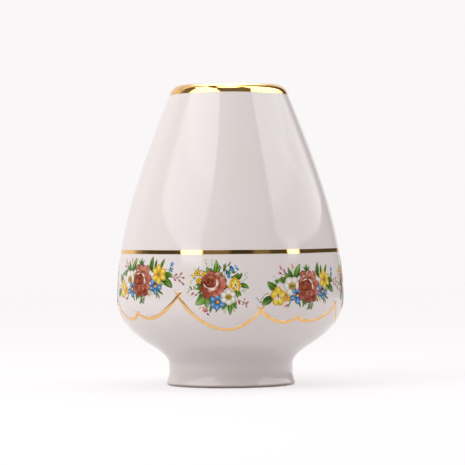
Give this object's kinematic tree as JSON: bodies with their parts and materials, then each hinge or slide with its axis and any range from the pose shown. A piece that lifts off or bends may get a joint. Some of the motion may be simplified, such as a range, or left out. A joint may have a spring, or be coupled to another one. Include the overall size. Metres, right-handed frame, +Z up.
{
  "type": "porcelain vase",
  "caption": "Pear-shaped glazed porcelain vase on a low foot, with a rounded gilt lip, a gilt band, gilt festoons and flower transfers round the belly.",
  "frame": {"origin": "centre of the foot on the surface that the vase stands on", "axes": "+Z up along the vase's axis; -Y through the middle of a round spray"},
  "size_m": [0.122, 0.122, 0.1613],
  "materials": {
    "biscuit": "bare fired porcelain, matt, slightly stained on the standing ring",
    "glaze": "clear glossy glaze over white porcelain",
    "gold": "burnished bright gold, thin, laid on the glaze",
    "transfer_round": "fired colour transfer of a rose with small flowers, glossy",
    "transfer_long": "fired colour transfer of a wide flower spray, glossy"
  },
  "bodies": {
    "root": {"biscuit_body": "biscuit", "outer_glaze": "glaze", "inner_glaze": "glaze", "base_glaze": "glaze", "lip_gilding": "gold", "gilt_band": "gold", "wide_swag_1": "gold", "wide_swag_2": "gold", "wide_swag_3": "gold", "wide_swag_4": "gold", "short_swag_1": "gold", "short_swag_2": "gold", "short_swag_3": "gold", "short_swag_4": "gold", "long_swag_1": "gold", "long_swag_2": "gold", "long_swag_3": "gold", "long_swag_4": "gold", "round_spray_1": "transfer_round", "round_spray_2": "transfer_round", "round_spray_3": "transfer_round", "round_spray_4": "transfer_round", "long_spray_1": "transfer_long", "long_spray_2": "transfer_long", "long_spray_3": "transfer_long", "long_spray_4": "transfer_long"}
  },
  "joints": []
}
